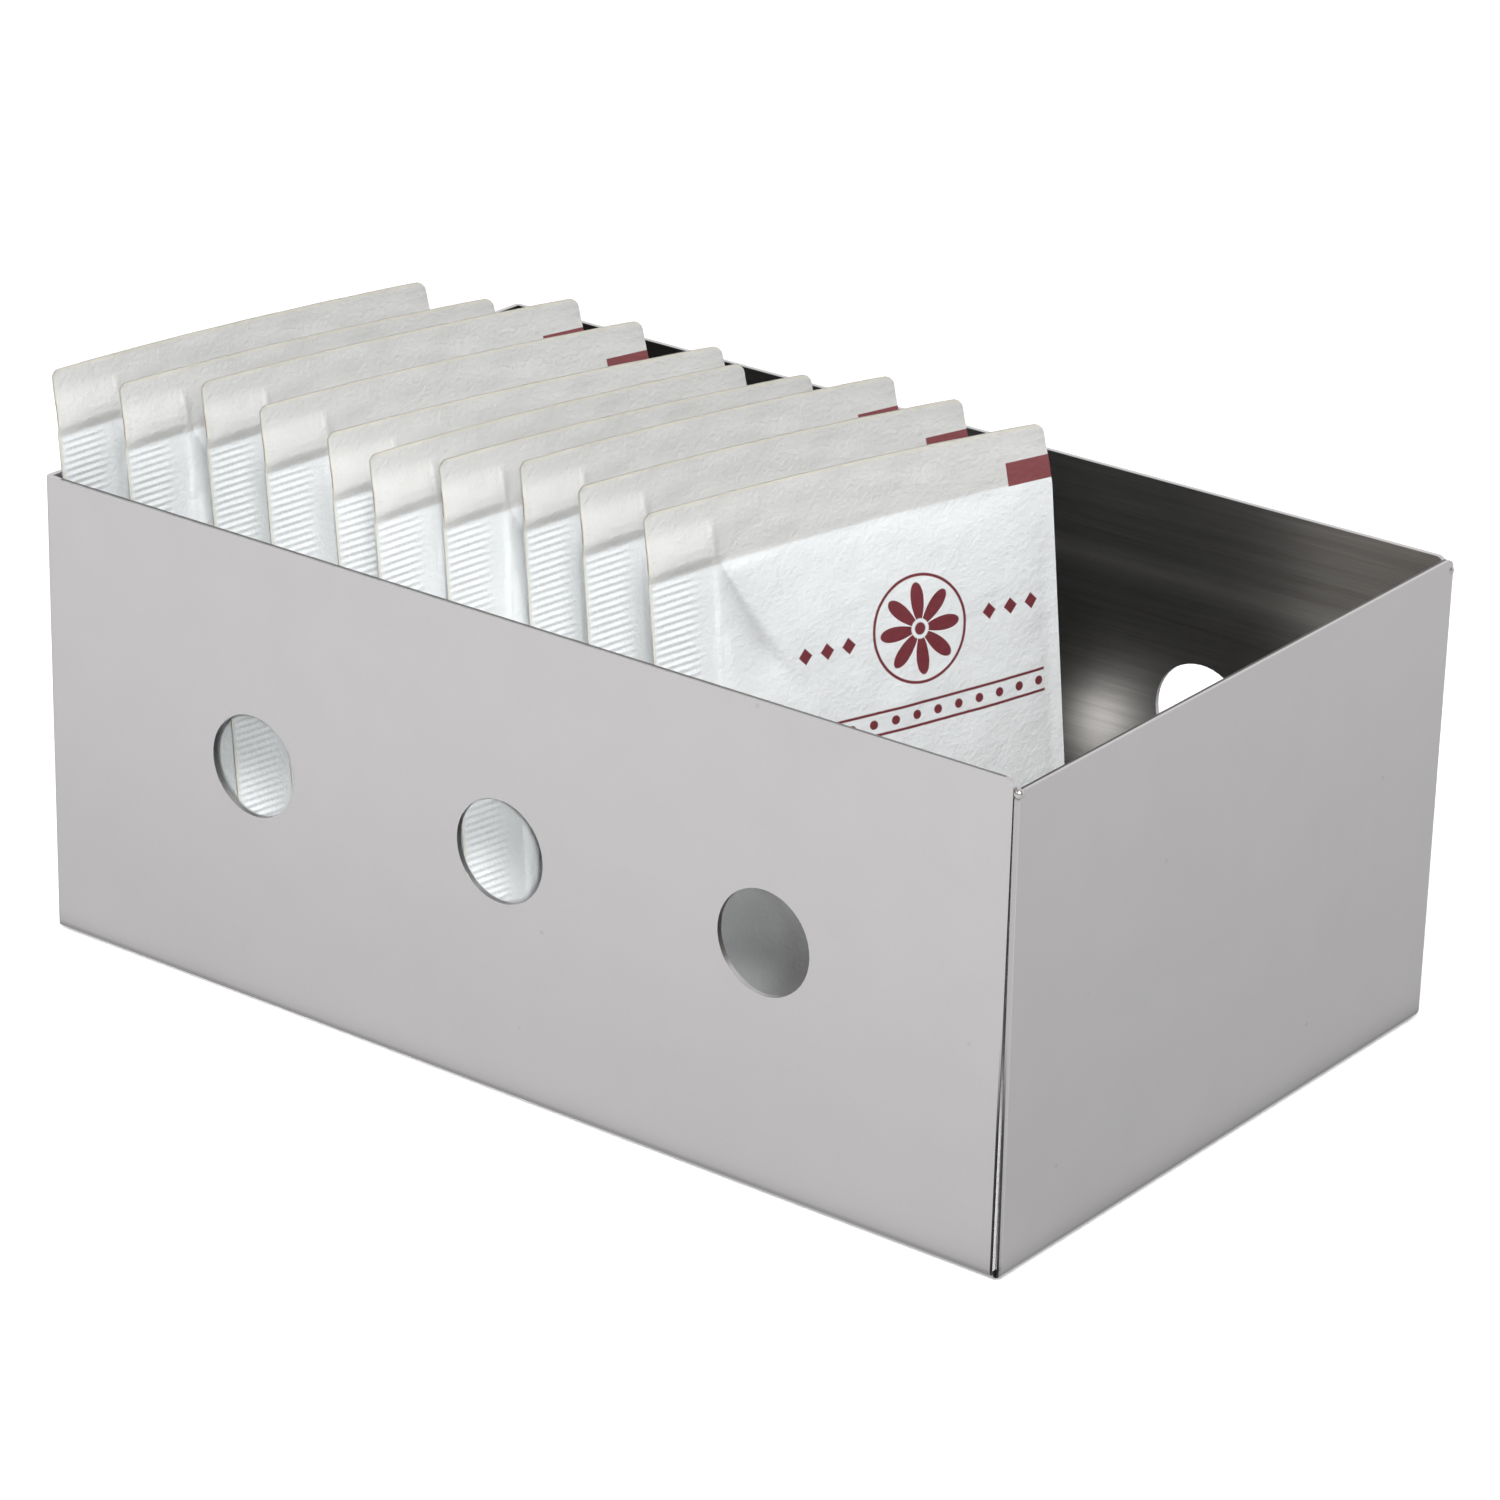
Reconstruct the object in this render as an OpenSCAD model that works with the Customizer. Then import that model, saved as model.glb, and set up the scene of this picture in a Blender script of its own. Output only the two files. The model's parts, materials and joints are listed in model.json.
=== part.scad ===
// Sugar packet holder: an open tray folded from one steel sheet, with paper sugar packets standing in it.
// The origin is on the table, under the middle of the tray. X runs left to right and Y front to back.

/* [Tray] */
// Length of the tray, left to right
tray_l = 120; // [110:1:200]
// Depth of the tray, front to back
tray_w = 74; // [60:1:120]
// Height of the walls
tray_h = 50; // [40:1:56]
// Thickness of the sheet
sheet_t = 0.6; // [0.5:0.1:1.2]
// Inside radius of the bends round the base
bend_r = 0.4; // [0.3:0.1:2]
// Outer radius of the two closed corners at the left end
closed_corner_r = 0.6; // [0.4:0.1:1]
// Radius of the rounded top corners beside the two open seams at the right end
top_corner_r = 1; // [0.6:0.1:3]
// Open seam between the end of a long wall and the right end panel
seam_gap = 0.15; // [0.1:0.05:0.3]
// How far the right end panel's top edge falls towards its front corner
panel_fall = 0.9; // [0:0.1:1.4]
// How far the right end panel's front edge draws in, from its top to its foot
panel_draw_in = 0.6; // [0:0.1:1]
// How far the right end's bend stops short of the front face
corner_notch = 0.6; // [0.4:0.05:2]
// How far the long bends stop short of the right end
bend_tip_inset = 0.6; // [0.2:0.1:0.7]

/* [Holes in the long walls] */
// Diameter of a hole
hole_d = 10.8; // [6:0.2:16]
// Distance between neighbouring holes
hole_pitch = 32; // [20:1:38]
// Height of the holes' centres above the table
hole_z = 26; // [20:1:30]
// Number of holes in a wall
hole_count = 3; // [1:1:3]

/* [Corner tack welds] */
// Radius of a tack weld's bead
tack_r = 0.5; // [0.4:0.05:0.8]
// How far a bead stands out of the two faces that it joins
tack_proud = 0.2; // [0.1:0.02:0.3]
// Depth of a bead's middle below the front end of the panel's top edge
tack_drop = 0.3; // [0.3:0.1:2]

/* [Sugar packets] */
// Width of a packet, from its crimped side to its folded side
packet_w = 46.5; // [42:0.5:52]
// Height of a packet
packet_h = 60.2; // [56:0.1:70]
// Thickness of a filled packet at its fullest
packet_t = 4.1; // [3:0.1:5]
// Thickness of the two papers where they are sealed together
seal_t = 0.35; // [0.3:0.05:0.5]
// Thickness of the paper round the sugar
paper_t = 0.12; // [0.08:0.01:0.14]
// Thickness of the sugar, as a share of the space inside the paper
fill_share = 0.7; // [0.5:0.05:0.8]
// Width of the crimped strip down the near side
crimp_w = 7.5; // [5:0.5:10]
// Width of the flat strip along the folded side
fold_w = 1.5; // [1:0.5:4]
// Height of the seal across the bottom
bottom_seal_h = 6; // [4:0.5:8]
// Height of the seal across the top
top_seal_h = 6.5; // [4:0.5:8]
// How much narrower a packet is at its top edge, on its folded side
top_taper = 0.9; // [0:0.1:2]
// Radius of the packet's corners
packet_corner_r = 1.2; // [0.5:0.1:2]
// How far a packet bows back across its width, at its bottom edge
bow_low = 0.4; // [0:0.1:1]
// How far a packet bows back across its width, at its top edge
bow_high = 1.5; // [0:0.1:2]

/* [How the packets stand] */
// Lean of the packets towards the left end
packet_lean = 6; // [3:0.5:8]
// Space under a packet
floor_gap = 0.25; // [0.2:0.05:0.5]
// Space between the row of packets and the walls that it stands against
wall_gap = 0.4; // [0.3:0.1:1]

/* [Hidden] */
// Step from each packet to the next along the row, as a share of a packet's thickness
packet_step_shares = [1.894, 1.42, 2.24, 2.53, 1.70, 1.44, 1.49, 2.12, 2.36];
// Distance of each packet behind the front wall, as a share of the tray's inside depth
packet_setback_shares = [0.0027, 0.0157, 0.0952, 0.0763, 0.0614, 0.0266, 0.0604, 0.129, 0.1111, 0.0952];
// Turn of each packet away from square, in degrees
packet_turns = [13.6, 13.9, 15.6, 16.6, 19, 14, 14, 15.2, 17, 20];
// How far each packet tilts in its own plane on to its crimped side's foot, as a share of its lean
packet_tilt_shares = [0.2, 0.12, 0.17, 0.2, 0.3, 0.12, 0, 0.05, 0.13, 0.3];
packet_count = len(packet_turns);
packet_names = [for (n = [1:packet_count]) str("packet_", n < 10 ? "0" : "", n)];

inside_l = tray_l - 2 * sheet_t;
inside_w = tray_w - 2 * sheet_t;
bend_outer_r = bend_r + sheet_t;
// The part of a bead's radius that reaches past the open seam
tack_reach_share = 0.9;

foot_z = sheet_t + floor_gap;
// How far the first packet's crimped side reaches to the left, from its foot up to the tray's rim
rim_reach = min(tray_h, foot_z + packet_h) - foot_z;
first_tilt = packet_lean * packet_tilt_shares[0];
rim_lean = rim_reach * (tan(packet_lean) * cos(packet_turns[0]) + tan(first_tilt) * sin(packet_turns[0]));
first_packet_x = -inside_l / 2 + wall_gap + seal_t / 2 + rim_lean;
first_packet_y = -inside_w / 2 + wall_gap;

// The mesh of a packet: columns and rows in the filled pillow, with one more round it for the seals
pillow_cols = 7;
pillow_rows = 8;
pillow_w = packet_w - crimp_w - fold_w;
pillow_h = packet_h - bottom_seal_h - top_seal_h;
// How square the pillow's sides are, and how much fuller it is low down, where the sugar settles
pillow_power = 0.8;
settle_share = 0.25;
// The part of a corner's radius that a single point at the corner moves in by
corner_cut_share = 0.3;

$fn = 48;

// Outline of an upright slice through the tray, with the bend's outer radius at its lower left corner
module slice_outline(width) {
    translate([-width / 2 + bend_outer_r, 0])
        square([width - bend_outer_r, tray_h]);
    translate([-width / 2, bend_outer_r])
        square([width, tray_h - bend_outer_r]);
    translate([-width / 2 + bend_outer_r, bend_outer_r])
        circle(bend_outer_r);
}

// Outline of the tray from above, with its two closed corners rounded
module plan_outline() {
    translate([-tray_l / 2 + closed_corner_r, -tray_w / 2])
        square([tray_l - closed_corner_r, tray_w]);
    translate([-tray_l / 2, -tray_w / 2 + closed_corner_r])
        square([tray_l, tray_w - 2 * closed_corner_r]);
    for (side = [-1, 1])
        translate([-tray_l / 2 + closed_corner_r, side * (tray_w / 2 - closed_corner_r)])
            circle(closed_corner_r);
}

// Quarter ring of a bend, with its inside corner at the origin and its outside to the left and below
module bend_outline() {
    intersection() {
        difference() {
            circle(bend_outer_r);
            circle(bend_r);
        }
        translate([-bend_outer_r, -bend_outer_r])
            square(bend_outer_r);
    }
}

// The bend along one side of the base: its far face is at -reach, and it runs for length, centred on zero
module bend(reach, length) {
    translate([0, length / 2, 0])
        rotate([90, 0, 0])
            linear_extrude(length)
                translate([bend_outer_r - reach, bend_outer_r])
                    bend_outline();
}

module base_plate() {
    translate([bend_outer_r - tray_l / 2, bend_outer_r - tray_w / 2, 0])
        cube([tray_l - 2 * bend_outer_r, tray_w - 2 * bend_outer_r, sheet_t]);
}

// Outline of a long wall above its bend: square at its closed end, and rounded at the top beside its open seam
module long_wall_outline() {
    reach = inside_l / 2 - seam_gap;
    top = tray_h - bend_outer_r;
    translate([-tray_l / 2, 0]) {
        square([tray_l / 2 + reach, top - top_corner_r]);
        square([tray_l / 2 + reach - top_corner_r, top]);
    }
    translate([reach - top_corner_r, top - top_corner_r])
        circle(top_corner_r);
}

// One long wall, standing on its bend, with its holes
module long_wall() {
    translate([0, -tray_w / 2 + sheet_t, bend_outer_r])
        rotate([90, 0, 0])
            linear_extrude(sheet_t)
                difference() {
                    long_wall_outline();
                    for (i = [0:hole_count - 1])
                        translate([(i - (hole_count - 1) / 2) * hole_pitch, hole_z - bend_outer_r])
                            circle(d = hole_d);
                }
}

// Outline of the right end panel, from its front edge at -Y to its back edge, above the bend
module end_panel_outline() {
    front_top = tray_h - bend_outer_r - panel_fall;
    back_top = tray_h - bend_outer_r;
    half = tray_w / 2;
    polygon([
        [-half + panel_draw_in, 0],
        [half, 0],
        [half, back_top - top_corner_r],
        [half - top_corner_r, back_top],
        [-half + top_corner_r, front_top],
        [-half, front_top - top_corner_r]
    ]);
    translate([half - top_corner_r, back_top - top_corner_r])
        circle(top_corner_r);
    translate([-half + top_corner_r, front_top - top_corner_r])
        circle(top_corner_r);
}

// The right end panel, which lies outside the ends of the long walls
module end_panel() {
    translate([inside_l / 2, 0, bend_outer_r])
        rotate([90, 0, 90])
            linear_extrude(sheet_t)
                end_panel_outline();
}

// The right end: the panel and the bend that it stands on
module right_end() {
    end_panel();
    translate([0, corner_notch / 2, 0])
        mirror([1, 0, 0])
            bend(tray_l / 2, tray_w - corner_notch);
}

// The left end: its panel and bend run through to the outer faces of the long walls, which they close against
module left_end() {
    intersection() {
        union() {
            translate([-tray_l / 2, -tray_w / 2, bend_outer_r])
                cube([sheet_t, tray_w, tray_h - bend_outer_r]);
            bend(tray_l / 2, tray_w);
        }
        translate([-tray_l / 2, 0, 0])
            rotate([90, 0, 90])
                linear_extrude(tray_l)
                    intersection() {
                        slice_outline(tray_w);
                        mirror([1, 0])
                            slice_outline(tray_w);
                    }
    }
}

// One long side: the wall and the bend that it stands on
module front_side() {
    intersection() {
        union() {
            long_wall();
            translate([-bend_tip_inset / 2, 0, 0])
                rotate([0, 0, 90])
                    bend(tray_w / 2, tray_l - bend_tip_inset);
        }
        translate([0, tray_w / 2, 0])
            rotate([90, 0, 0])
                linear_extrude(tray_w)
                    slice_outline(tray_l);
    }
}

module folded_tray() {
    color("silver")
        intersection() {
            union() {
                base_plate();
                front_side();
                mirror([0, 1, 0])
                    front_side();
                left_end();
                right_end();
            }
            linear_extrude(tray_h)
                plan_outline();
        }
}

// A bead of weld over the top of each open seam
module corner_tack_welds() {
    inset = tack_r - tack_proud;
    seam_inset = max(inset, sheet_t + seam_gap - tack_reach_share * tack_r);
    color("gainsboro")
        for (side = [-1, 1])
            translate([tray_l / 2 - seam_inset, side * (tray_w / 2 - inset), tray_h - panel_fall - tack_drop])
                sphere(tack_r);
}

// Places of the packet mesh's columns across the packet and rows up it, close together near the pillow's edge
function eased(step, steps) = (1 - cos(180 * step / steps)) / 2;
column_places = concat([0], [for (i = [0:pillow_cols]) crimp_w + pillow_w * eased(i, pillow_cols)], [packet_w]);
row_places = concat([0], [for (j = [0:pillow_rows]) bottom_seal_h + pillow_h * eased(j, pillow_rows)], [packet_h]);
last_column = len(column_places) - 1;
last_row = len(row_places) - 1;

// How full the packet is at a place, from 0 in the seals to about 1 in the middle
function dome(x) = pow(max(0, 1 - x * x), pillow_power);
function fullness(u, v) =
    let (
        across = max(-1, min(1, 2 * (u - crimp_w) / pillow_w - 1)),
        up = max(-1, min(1, 2 * (v - bottom_seal_h) / pillow_h - 1))
    )
    dome(across) * dome(up) * (1 - settle_share * up);
function half_thickness(u, v) = seal_t / 2 + (packet_t - seal_t) / 2 * fullness(u, v);
function bow(u, v) = (bow_low + (bow_high - bow_low) * v / packet_h) * (1 - pow(2 * u / packet_w - 1, 2));

// One point of a packet's mesh: face is 1 on its front and -1 on its back, inset is a depth below the paper's face,
// and fill is a share of the thickness that is left
function packet_point(i, j, face, inset, fill) =
    let (
        u = column_places[i],
        v = row_places[j],
        corner = (i == 0 || i == last_column) && (j == 0 || j == last_row),
        cut = corner ? corner_cut_share * packet_corner_r : 0,
        taper = i == last_column && j == last_row ? top_taper : 0
    )
    [
        face * (half_thickness(u, v) - inset) * fill - bow(u, v),
        u + (i == 0 ? cut : -cut) - taper,
        v + (j == 0 ? cut : -cut)
    ];

// A closed pouch over the mesh without its outermost `border` rows and columns, inset below the paper's face
module pouch(border, inset, fill = 1) {
    cols = last_column - 2 * border + 1;
    rows = last_row - 2 * border + 1;
    points = [
        for (face = [1, -1])
            for (j = [border:last_row - border])
                for (i = [border:last_column - border])
                    packet_point(i, j, face, inset, fill)
    ];
    back = cols * rows;
    rim = concat(
        [for (i = [0:cols - 2]) i],
        [for (j = [0:rows - 2]) j * cols + cols - 1],
        [for (i = [cols - 1:-1:1]) (rows - 1) * cols + i],
        [for (j = [rows - 1:-1:1]) j * cols]
    );
    front_faces = [
        for (j = [0:rows - 2])
            for (i = [0:cols - 2])
                let (corner = j * cols + i)
                each [
                    [corner, corner + cols, corner + 1],
                    [corner + 1, corner + cols, corner + cols + 1]
                ]
    ];
    back_faces = [for (face = front_faces) [face[0] + back, face[2] + back, face[1] + back]];
    rim_faces = [
        for (k = [0:len(rim) - 1])
            let (next = (k + 1) % len(rim))
            each [
                [rim[k], rim[next], rim[k] + back],
                [rim[next], rim[next] + back, rim[k] + back]
            ]
    ];
    polyhedron(points = points, faces = concat(front_faces, back_faces, rim_faces));
}

// How far along the row a packet stands, from the sum of the steps before it
function row_place(n) = n == 0 ? 0 : row_place(n - 1) + packet_t * packet_step_shares[n - 1];

// Puts a packet, or what is in it, where the packet with that number stands
module place_packet(n) {
    translate([first_packet_x + row_place(n), first_packet_y + inside_w * packet_setback_shares[n], foot_z])
        rotate([0, 0, -packet_turns[n]])
            rotate([0, -packet_lean, 0])
                rotate([packet_lean * packet_tilt_shares[n], 0, 0])
                    children();
}

module packet_envelope(n) {
    color("whitesmoke")
        place_packet(n)
            difference() {
                pouch(0, 0);
                pouch(1, paper_t);
            }
}

module packet_sugar(n) {
    color("white")
        place_packet(n)
            pouch(1, paper_t, fill_share);
}

folded_tray();
corner_tack_welds();
for (n = [0:packet_count - 1])
    packet_envelope(n);
for (n = [0:packet_count - 1])
    packet_sugar(n);
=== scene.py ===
import json
import math

import bmesh
import bpy
from mathutils import Matrix, Vector, noise


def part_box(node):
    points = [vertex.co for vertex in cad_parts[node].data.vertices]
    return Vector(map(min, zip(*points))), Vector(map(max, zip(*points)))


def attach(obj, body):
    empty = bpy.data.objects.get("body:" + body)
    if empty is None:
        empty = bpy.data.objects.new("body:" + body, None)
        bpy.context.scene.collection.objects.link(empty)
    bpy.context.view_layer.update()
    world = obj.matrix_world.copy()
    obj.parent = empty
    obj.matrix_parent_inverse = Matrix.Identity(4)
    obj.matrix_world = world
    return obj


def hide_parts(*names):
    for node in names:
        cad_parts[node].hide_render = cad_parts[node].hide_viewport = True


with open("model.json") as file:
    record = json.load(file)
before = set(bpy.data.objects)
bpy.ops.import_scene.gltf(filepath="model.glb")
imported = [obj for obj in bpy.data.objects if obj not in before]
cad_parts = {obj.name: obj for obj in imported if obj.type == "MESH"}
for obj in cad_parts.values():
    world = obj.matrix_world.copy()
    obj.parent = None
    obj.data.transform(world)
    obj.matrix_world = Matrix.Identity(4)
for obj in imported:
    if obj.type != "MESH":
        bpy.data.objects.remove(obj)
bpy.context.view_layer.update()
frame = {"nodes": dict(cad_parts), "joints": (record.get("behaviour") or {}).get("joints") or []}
mm = 0.001
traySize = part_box("folded_tray")[1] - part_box("folded_tray")[0]
print("frame loaded:", len(frame["nodes"]), "nodes")


# Small helpers for working by hand: nothing stays selected between steps

def deselectAll():
    if bpy.context.mode != "OBJECT":
        bpy.ops.object.mode_set(mode="OBJECT")
    for thing in bpy.context.selected_objects:
        thing.select_set(False)


def pick(*things):
    deselectAll()
    for thing in things:
        thing.select_set(True)
    bpy.context.view_layer.objects.active = things[0]


def finished(name):
    # the active object, with its place moved into its mesh
    thing = bpy.context.active_object
    bpy.ops.object.transform_apply(location=True, rotation=True, scale=True)
    thing.name = name
    thing.data.name = name
    return thing


# Shader maths as expressions

class Value:
    # one output socket of a finish, with the sums that the patterns use
    def __init__(self, finish, socket):
        self.finish = finish
        self.socket = socket

    def math(self, operation, *others):
        return self.finish.node("ShaderNodeMath", {"operation": operation}, [self, *others])

    def __add__(self, other):
        return self.math("ADD", other)

    __radd__ = __add__

    def __sub__(self, other):
        return self.math("SUBTRACT", other)

    def __rsub__(self, other):
        return self.finish.node("ShaderNodeMath", {"operation": "SUBTRACT"}, [other, self])

    def __mul__(self, other):
        return self.math("MULTIPLY", other)

    __rmul__ = __mul__

    def __truediv__(self, other):
        return self.math("DIVIDE", other)

    def __pow__(self, other):
        return self.math("POWER", other)

    def __abs__(self):
        return self.math("ABSOLUTE")

    def above(self, edge, soft):
        # 0 below the edge and 1 above it, with a soft step between
        settings = {"interpolation_type": "SMOOTHSTEP", "clamp": True}
        return self.finish.node(
            "ShaderNodeMapRange", settings, [self, edge - soft / 2, edge + soft / 2, 0.0, 1.0]
        )

    def below(self, edge, soft):
        return 1 - self.above(edge, soft)

    def within(self, low, high, soft):
        return self.above(low, soft) * self.below(high, soft)


class Pattern:
    # nodes of one shader, made by one method
    def __init__(self, tree):
        self.tree = tree
        self.tree.nodes.clear()

    def node(self, kind, settings=None, inputs=(), output=0):
        made = self.tree.nodes.new(kind)
        for key, value in (settings or {}).items():
            setattr(made, key, value)
        pairs = inputs.items() if isinstance(inputs, dict) else enumerate(inputs)
        for key, value in pairs:
            if isinstance(value, Value):
                self.tree.links.new(value.socket, made.inputs[key])
            else:
                made.inputs[key].default_value = value
        return Value(self, made.outputs[output])

    def parts(self, vector):
        # x, y and z of a vector, as three values
        split = self.node("ShaderNodeSeparateXYZ", {}, [vector])
        return [Value(self, out) for out in split.socket.node.outputs]

    def place(self):
        # the piece's own coordinates, in millimetres
        where = self.node("ShaderNodeTexCoord", output=3)
        return self.tint(where, 1 / mm)

    def isRay(self, kind):
        # 1 for rays of this kind, such as those that the camera or a mirror sends
        rays = self.node("ShaderNodeLightPath")
        return Value(self, rays.socket.node.outputs[kind])

    def join(self, x, y, z):
        return self.node("ShaderNodeCombineXYZ", {}, [x, y, z])

    def cloud(self, vector, scale, detail=2.0, roughness=0.5):
        # smooth noise, about 0 to 1, with this many features per unit
        settings = {"noise_dimensions": "3D"}
        inputs = {"Vector": vector, "Scale": scale, "Detail": detail, "Roughness": roughness}
        return self.node("ShaderNodeTexNoise", settings, inputs)

    def lines(self, place, along, across):
        # noise drawn out along the sheet, with this many lines per millimetre each way
        x, y, z = place
        return self.cloud(self.join(x * along, y * along, z * across), 1.0, 3.0, 0.6)

    def cells(self, vector, scale):
        # the distance to the middle of the nearest of many scattered cells
        return self.node("ShaderNodeTexVoronoi", {}, {"Vector": vector, "Scale": scale})

    def blend(self, factor, first, second):
        # a colour between two colours
        settings = {"data_type": "RGBA", "blend_type": "MIX"}
        colours = [c if isinstance(c, Value) else (*c, 1.0) for c in (first, second)]
        inputs = {0: factor, 6: colours[0], 7: colours[1]}
        return self.node("ShaderNodeMix", settings, inputs, output=2)

    def tint(self, colour, level):
        # a colour made darker or lighter
        settings = {"operation": "SCALE"}
        return self.node("ShaderNodeVectorMath", settings, {0: colour, "Scale": level})

    def bump(self, height, distance):
        inputs = {"Strength": 1.0, "Distance": distance, "Height": height}
        return self.node("ShaderNodeBump", {}, inputs)


class Finish(Pattern):
    # a material with one Principled shader: fixed values go on the shader's own sockets
    def __init__(self, name, **fixed):
        self.material = bpy.data.materials.new(name)
        self.material.use_nodes = True
        super().__init__(self.material.node_tree)
        self.out = self.tree.nodes.new("ShaderNodeOutputMaterial")
        self.shader = self.tree.nodes.new("ShaderNodeBsdfPrincipled")
        self.tree.links.new(self.shader.outputs["BSDF"], self.out.inputs["Surface"])
        for socket, value in fixed.items():
            self.shader.inputs[socket.replace("_", " ")].default_value = value

    def feed(self, **links):
        for socket, value in links.items():
            self.tree.links.new(value.socket, self.shader.inputs[socket.replace("_", " ")])


def dress(thing, finish):
    thing.data.materials.clear()
    thing.data.materials.append(finish.material)


# Camera, at the photograph's place and angle

cameraFacts = {
    "place": (0.308376, -0.403986, 0.239099),
    "right": (0.790516, 0.612009, 0.023022),
    "up": (-0.254660, 0.294286, 0.921165),
    "ahead": (-0.556986, 0.734058, -0.388492),
    "lens": 130.806,
    "sensor": 36.0,
    "near": 0.01,
    "far": 20,
}


def makeCamera(facts):
    bpy.ops.object.camera_add()
    camera = bpy.context.active_object
    camera.name = "photoCamera"
    back = -Vector(facts["ahead"])
    turn = Matrix((facts["right"], facts["up"], back)).transposed()
    camera.matrix_world = Matrix.Translation(facts["place"]) @ turn.to_4x4()
    camera.data.lens = facts["lens"]
    camera.data.sensor_width = facts["sensor"]
    camera.data.clip_start = facts["near"]
    camera.data.clip_end = facts["far"]
    bpy.context.scene.camera = camera


deselectAll()
makeCamera(cameraFacts)
print("camera placed")


# Floor, world and lamps: a plain white sweep with soft studio light

floorFacts = {
    "size": 6.0,
    "drop": 0.0002,
    "albedo": 0.80,
    "roughness": 0.9,
    "cameraLift": 0.30,
    # how bright the steel sees it: painted falloff past the end panel, painted shade near the tray
    "frontGlow": 1.03,
    "endGlow": 0.80,
    "fallFrom": 5.0,
    "fallTo": 45.0,
    "nearShadeShare": 0.82,
    "nearReach": 90.0,
    "footShadowShare": 0.55,
    "footReach": 3.0,
}
lampFacts = [
    # name, place, aim, width, height, watts
    ("keyLamp", (0.50, -0.66, 0.86), (0, 0, 0.03), 0.35, 0.35, 13.0),
    ("leftLamp", (-0.75, -0.75, 0.9), (0, 0, 0.03), 0.5, 0.5, 2.0),
    ("topLamp", (-0.1, 0.25, 1.3), (0, 0, 0.02), 1.0, 0.8, 2.0),
]
# narrow beams from beside the camera, which light what shows through the holes, and a second one
# from higher up for the third hole
beamFacts = [
    {
        "name": "holeBeam",
        "place": (0.700, -0.846, 0.495),
        "aim": (-0.018, -0.037, 0.020),
        "reach": 0.030,
        "softness": 0.02,
        "blend": 0.3,
        "watts": 46.0,
    },
    {
        "name": "lowBeam",
        "place": (0.593, -0.782, 0.781),
        "aim": (0.032, -0.037, 0.026),
        "reach": 0.0075,
        "softness": 0.09,
        "blend": 0.3,
        "watts": 52.0,
    },
]
# the soft bright spot that the back wall mirrors, low down beside the packets
glintFacts = {
    "place": (0.0128, 0.0246, 0.0166),
    "aim": (0.0216, 0.0362, 0.0227),
    "size": (0.0045, 0.0075),
    "watts": 0.0003,
}
worldFacts = {
    "ambient": 0.50,
    "glossyFront": 0.22,
    "glossyBack": 1.0,
    # where the bright backdrop begins, and how high it reaches, each with its softness
    "backdropFrom": (0.4, 0.5),
    "backdropTop": (0.75, 0.4),
}


def makeFloor(facts):
    bpy.ops.mesh.primitive_plane_add(size=facts["size"], location=(0, 0, -facts["drop"]))
    floor = finished("floorSweep")
    # white with its shadow when seen directly; the steel sees a glowing card with painted light and
    # shade
    colour = (facts["albedo"],) * 3 + (1,)
    finish = Finish("whiteSweep", Base_Color=colour, Roughness=facts["roughness"])
    finish.shader.inputs["Specular IOR Level"].default_value = 0
    finish.shader.inputs["Emission Color"].default_value = (1, 1, 1, 1)
    finish.feed(Emission_Strength=finish.isRay("Is Camera Ray") * facts["cameraLift"])
    x, y, _ = finish.parts(finish.place())
    halfLength, halfDepth = [side / mm for side in traySize.xy / 2]
    middle = (facts["fallFrom"] + facts["fallTo"]) / 2
    towardsEnd = (x + y).above(middle, facts["fallTo"] - facts["fallFrom"])
    distance = (-halfDepth - y).math("MAXIMUM", x - halfLength)
    away = distance.above(facts["nearReach"] / 2, facts["nearReach"])
    clear = distance.above(facts["footReach"] / 2, facts["footReach"])
    # painted light and shade on the card: dimmer beyond the end panel, darker near the tray's foot
    level = facts["frontGlow"] + towardsEnd * (facts["endGlow"] - facts["frontGlow"])
    level = level * (facts["nearShadeShare"] + away * (1 - facts["nearShadeShare"]))
    level = level * (facts["footShadowShare"] + clear * (1 - facts["footShadowShare"]))
    card = finish.node("ShaderNodeEmission", {}, {"Strength": level})
    lit = Value(finish, finish.shader.outputs["BSDF"])
    mixed = finish.node("ShaderNodeMixShader", {}, [finish.isRay("Is Glossy Ray"), lit, card])
    finish.tree.links.new(mixed.socket, finish.out.inputs["Surface"])
    dress(floor, finish)


def makeWorld(facts):
    world = bpy.data.worlds.new("studioWorld")
    bpy.context.scene.world = world
    world.use_nodes = True
    sky = Pattern(world.node_tree)
    _, y, z = sky.parts(sky.node("ShaderNodeTexCoord"))
    # the steel sees a bright backdrop behind the tray and a dim room in front
    backdrop = y.above(*facts["backdropFrom"]) * z.below(*facts["backdropTop"])
    mirrored = facts["glossyFront"] + backdrop * (facts["glossyBack"] - facts["glossyFront"])
    glossy = sky.isRay("Is Glossy Ray")
    level = glossy * mirrored + (1 - glossy) * facts["ambient"]
    level = level.math("MAXIMUM", sky.isRay("Is Camera Ray"))
    inputs = {"Color": (1, 1, 1, 1), "Strength": level}
    background = sky.node("ShaderNodeBackground", {}, inputs)
    out = sky.tree.nodes.new("ShaderNodeOutputWorld")
    sky.tree.links.new(background.socket, out.inputs["Surface"])


def makeLamp(name, place, aim, width, height, watts):
    bpy.ops.object.light_add(type="AREA", location=place)
    lamp = bpy.context.active_object
    lamp.name = name
    lamp.data.shape = "RECTANGLE"
    lamp.data.size = width
    lamp.data.size_y = height
    lamp.data.energy = watts
    towards = Vector(aim) - Vector(place)
    lamp.rotation_euler = towards.to_track_quat("-Z", "Y").to_euler()


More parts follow.
